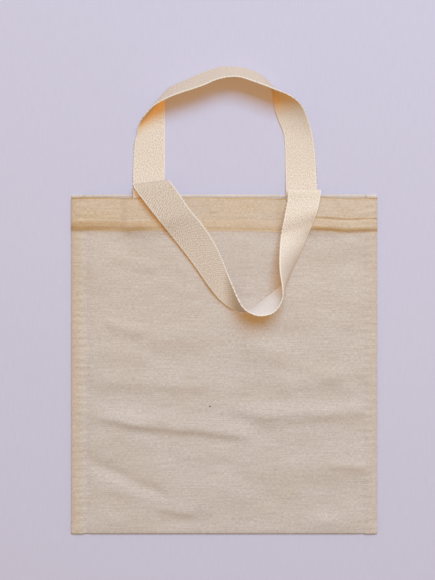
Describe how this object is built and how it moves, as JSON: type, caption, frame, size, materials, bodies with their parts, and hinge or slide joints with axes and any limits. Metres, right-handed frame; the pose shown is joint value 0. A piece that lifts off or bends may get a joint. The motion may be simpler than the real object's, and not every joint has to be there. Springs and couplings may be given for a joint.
{
  "type": "cotton tote bag",
  "caption": "Flat unbleached cotton bag with an open mouth, deep turned hem and standing hand loops of flat cotton webbing, lying on its back.",
  "frame": {"origin": "middle of the bounding box's base: on the surface the bag lies on, midway between the bottom fold and the far end of the rear handle", "axes": "+X to the bag's right seen from the front, +Y from the bottom fold to the mouth, +Z out of the front panel"},
  "size_m": [0.298, 0.4556, 0.0381],
  "materials": {
    "muslin": "matte",
    "webbing": "matte",
    "thread": "matte"
  },
  "bodies": {
    "back": {"back_panel": "muslin", "bottom_fold": "muslin", "back_hem": "muslin", "back_hem_stitch": "thread", "left_seam_allowance": "muslin", "right_seam_allowance": "muslin", "left_seam_stitch": "thread", "right_seam_stitch": "thread", "rear_handle_left_end": "webbing", "rear_handle_right_end": "webbing", "rear_handle_left_stitch": "thread", "rear_handle_right_stitch": "thread"},
    "front": {"front_panel": "muslin", "front_hem": "muslin", "front_hem_stitch": "thread", "front_handle_left_end": "webbing", "front_handle_right_end": "webbing", "front_handle_left_stitch": "thread", "front_handle_right_stitch": "thread"},
    "front_handle": {"front_handle_left_bend": "webbing", "front_handle_loop": "webbing", "front_handle_right_bend": "webbing"},
    "rear_handle": {"rear_handle_left_bend": "webbing", "rear_handle_loop": "webbing", "rear_handle_right_bend": "webbing"}
  },
  "joints": [
    {"name": "mouth_open", "type": "hinge", "parent": "back", "child": "front", "pos_m": [0, -0.22625, 0.0015], "axis": [1, 0, 0], "range_deg": [0, 8]},
    {"name": "front_handle_swing", "type": "hinge", "parent": "front", "child": "front_handle", "pos_m": [0, 0.1042, 0.0095], "axis": [-1, 0, 0], "range_deg": [0, 150], "deforming": ["front_handle_left_bend", "front_handle_right_bend"]},
    {"name": "rear_handle_swing", "type": "hinge", "parent": "back", "child": "rear_handle", "pos_m": [0, 0.1092, 0.003], "axis": [-1, 0, 0], "range_deg": [-95, 0], "deforming": ["rear_handle_left_bend", "rear_handle_right_bend"]}
  ]
}
